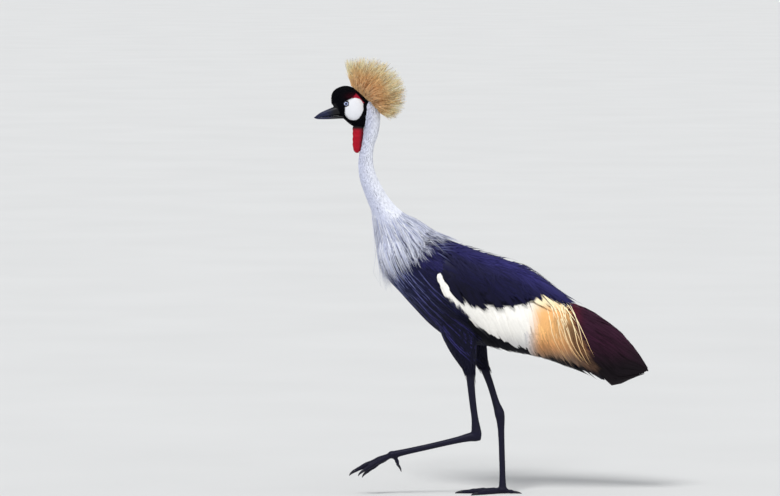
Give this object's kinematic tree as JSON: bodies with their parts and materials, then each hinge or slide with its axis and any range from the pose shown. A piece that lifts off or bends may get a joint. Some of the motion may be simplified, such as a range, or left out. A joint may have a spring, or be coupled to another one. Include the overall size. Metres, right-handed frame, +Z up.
{
  "type": "grey crowned crane",
  "caption": "Life-size still model of a grey crowned crane in mid stride, one foot raised, with a golden bristle crown and folded white, gold and chestnut wings.",
  "frame": {"origin": "on the ground, at the middle of the bounding box", "axes": "+Z up; the bird faces -X, so its left side faces -Y and its tail points to +X"},
  "size_m": [0.8026, 0.1964, 1.0537],
  "materials": {
    "slate_feathers": "dark slate blue back, breast and thigh feathers",
    "pearl_feathers": "pale blue-grey neck feathers",
    "wing_feathers": "white coverts with golden plumes, chestnut inner quills and black outer quills",
    "black_feathers": "matt black feathers",
    "cap": "black velvet cap, with bare white cheeks",
    "crown_bristles": "stiff straw-coloured bristles",
    "wattle": "bare red skin",
    "horn": "dark grey horn of bill and claws",
    "leg_skin": "dark scaled skin",
    "eye": "pale blue iris with a dark pupil"
  },
  "bodies": {
    "root": {"bill_lower": "horn", "bill_upper": "horn", "claw_left_hind": "horn", "claw_left_inner": "horn", "claw_left_middle": "horn", "claw_left_outer": "horn", "claw_right_hind": "horn", "claw_right_inner": "horn", "claw_right_middle": "horn", "claw_right_outer": "horn", "crown": "crown_bristles", "eye_left": "eye", "eye_right": "eye", "foot_left": "leg_skin", "foot_right": "leg_skin", "head": "cap", "neck_lower": "pearl_feathers", "neck_middle": "pearl_feathers", "neck_upper": "pearl_feathers", "shank_left": "leg_skin", "shank_right": "leg_skin", "tail": "black_feathers", "tarsus_left": "leg_skin", "tarsus_right": "leg_skin", "thigh_left": "slate_feathers", "thigh_right": "slate_feathers", "torso": "slate_feathers", "wattle": "wattle", "wing_left": "wing_feathers", "wing_right": "wing_feathers"}
  },
  "joints": []
}
